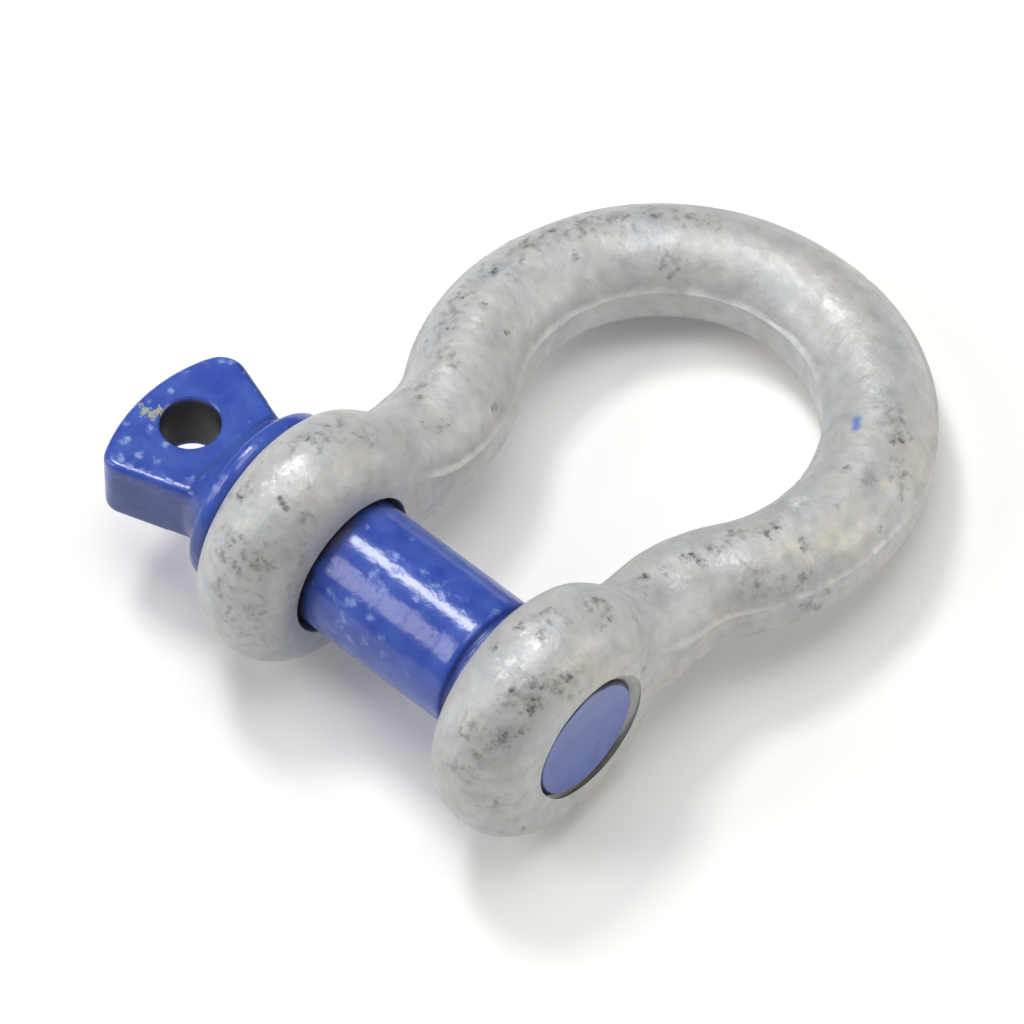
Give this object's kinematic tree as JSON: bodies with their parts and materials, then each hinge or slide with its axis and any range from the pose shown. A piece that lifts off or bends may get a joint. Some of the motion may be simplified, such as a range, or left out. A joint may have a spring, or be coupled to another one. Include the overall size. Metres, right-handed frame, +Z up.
{
  "type": "screw pin bow shackle",
  "caption": "Forged bow shackle with a round bow, two rounded eyes and a screw pin whose flat lug has a hole for a spike.",
  "frame": {"origin": "middle of the pin's axis between the two eyes, with the shackle lying at rest on its eyes and crown", "axes": "+X along the pin towards its threaded tip, +Y from the pin towards the crown, +Z up; the ground is at z = -0.0152 m"},
  "size_m": [0.0709, 0.0831, 0.0304],
  "materials": {
    "galvanised": "matt hot-dip galvanised zinc, mottled, with dark specks and grey scuffs",
    "blue_paint": "glossy blue paint over forged steel, chipped and scuffed at the lug and shank"
  },
  "bodies": {
    "bow": {"bow": "galvanised"},
    "screw_pin": {"screw_pin": "blue_paint"}
  },
  "joints": [
    {"name": "pin_withdraw", "type": "slide", "parent": "bow", "child": "screw_pin", "axis": [-1, 0, 0], "range_m": [0, 0.05]}
  ]
}
